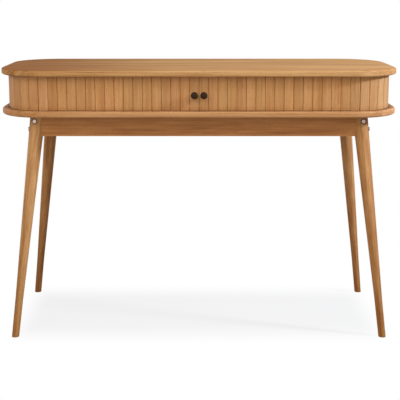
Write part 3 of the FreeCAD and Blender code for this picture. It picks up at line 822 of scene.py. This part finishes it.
# %% Turn the knobs
# Radius and height of each point of the knob's outline, in millimetres, from its foot to its crown.
KNOB_PROFILE = ((0, 0), (3, 0), (5.5, 0), (5.5, 0.6), (5.5, 5.6), (6.6, 8.4), (9.6, 10.4), (10.5, 11.6),
                (10.5, 14.6), (9.6, 17.2), (6.5, 18.6), (3, 18.9), (0, 19))
KNOB_HEIGHT = 739 * MM
KNOB_ROUNDING = 2
LATHE_STEPS = 32


def spin_profile(form, profile, closed):
    """Spins an outline of radii and heights about Z."""
    points = [form.verts.new((radius * MM, 0, height * MM)) for radius, height in profile]
    ends = points[1:] + points[:1] if closed else points[1:]
    lines = [form.edges.new(pair) for pair in zip(points, ends)]
    bmesh.ops.spin(form, geom=points + lines, cent=(0, 0, 0), axis=(0, 0, 1), angle=math.tau,
                   steps=LATHE_STEPS, use_merge=True)


def turned_knob(side, sign):
    """Turns a knob and sets it on the leading slat."""
    slat_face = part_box(f"{side}_lead_slat")[0].y
    form = bmesh.new()
    spin_profile(form, KNOB_PROFILE, closed=False)
    bmesh.ops.remove_doubles(form, verts=form.verts, dist=WELD_GAP)
    bmesh.ops.recalc_face_normals(form, faces=form.faces)
    bmesh.ops.rotate(form, matrix=UPRIGHT, verts=form.verts)
    bmesh.ops.translate(form, vec=(sign * SLAT_PITCH / 2, slat_face, KNOB_HEIGHT), verts=form.verts)
    knob = object_from(form, f"{side}_turned_knob", enamel)
    rounding = knob.modifiers.new("rounding", "SUBSURF")
    rounding.levels = KNOB_ROUNDING
    rounding.render_levels = KNOB_ROUNDING
    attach(knob, f"{side}_door")
    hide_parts(f"{side}_knob")


for side, sign in SIDES.items():
    turned_knob(side, sign)
print("knobs turned")

# %% [markdown]
# ## Bolts and nuts
# Socket-head bolts pull the legs against the aprons, into barrel nuts inside. They are zinc-plated steel: a
# pale metal with a dull, slightly uneven sheen. The solids already have the heads and sockets, so they only
# need the metal. A mirror-smooth metal would look like chrome, so the plating varies in gloss.

# %% Plated steel
PLATING_PATCH = 3 * MM


def steel_material(name, colour, smoothest, roughest):
    """Makes plated steel: a metal whose plating varies in gloss over a few millimetres."""
    material, tree, output = new_material(name)
    place = add_node(tree, "ShaderNodeTexCoord")
    plating = add_node(tree, "ShaderNodeTexNoise", {"Scale": 1 / PLATING_PATCH, "Detail": 3.0},
                       {"Vector": place.outputs["Object"]})
    gloss = add_node(tree, "ShaderNodeMapRange", {"To Min": smoothest, "To Max": roughest},
                     {"Value": plating.outputs[0]})
    steel = add_node(tree, "ShaderNodeBsdfPrincipled", {"Base Color": tint(colour), "Metallic": 1.0},
                     {"Roughness": gloss.outputs[0]})
    tree.links.new(steel.outputs[0], output.inputs["Surface"])
    return material


zinc = steel_material("zinc plated steel", "#B09A8E", 0.30, 0.48)
finish_solid("leg_bolts", zinc)
finish_solid("barrel_nuts", zinc)
print("bolts and nuts finished")

# %% [markdown]
# ## Collars
# A collar of blackened steel lines the recess round each bolt head, so the head shows as a light disc in a
# dark ring: the collar is a dark piece that stands in for the shade in the recess. The ring could be drawn
# in the wood's material, but a real ring keeps its shape from every side. Its small section is spun like
# the knob's and set on each bolt's seat, which follows from the leg's slope.

# %% Collars round the bolt heads
HEAD_HEIGHT = 6 * MM
APRON_OFFSET = 5 * MM
END_BOLT_DROP = 17 * MM
LONG_BOLT_DROP = 42 * MM
COLLAR_PROFILE = ((5.7, 0), (8.3, 0), (8.3, 1.5), (8.0, 1.8), (6.0, 1.8), (5.7, 1.5))


def bolt_seats():
    """Returns the place and outward direction of every bolt head's seat."""
    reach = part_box("leg_bolts")[1]
    lean = (LEG_FOOT - LEG_TOP) / LEG_TOP.z
    end_x = LEG_TOP.x + lean.x * END_BOLT_DROP + APRON_OFFSET
    end = Vector((end_x, reach.y - HEAD_HEIGHT, LEG_TOP.z - END_BOLT_DROP))
    long_y = LEG_TOP.y + lean.y * LONG_BOLT_DROP + APRON_OFFSET
    long = Vector((reach.x - HEAD_HEIGHT, long_y, LEG_TOP.z - LONG_BOLT_DROP))
    for sx, sy in CORNERS.values():
        yield end * Vector((sx, sy, 1)), Vector((0, sy, 0))
        yield long * Vector((sx, sy, 1)), Vector((sx, 0, 0))


def add_collar(form, seat, outward):
    """Spins one collar's section and sets it on a seat."""
    first = len(form.verts)
    spin_profile(form, COLLAR_PROFILE, closed=True)
    form.verts.ensure_lookup_table()
    ring = form.verts[first:]
    facing = outward.to_track_quat("Z", "Y").to_matrix().to_4x4()
    bmesh.ops.transform(form, matrix=Matrix.Translation(seat) @ facing, verts=ring)


collar_form = bmesh.new()
for seat, outward in bolt_seats():
    add_collar(collar_form, seat, outward)
bmesh.ops.recalc_face_normals(collar_form, faces=collar_form.faces)
# Dark steel for the collars, standing in for the shade in each recess.
blackened = steel_material("blackened steel", "#3C3029", 0.45, 0.60)
collars = object_from(collar_form, "bolt_collars", blackened)
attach(collars, "desk")
print("collars made", len(collars.data.polygons), "faces")
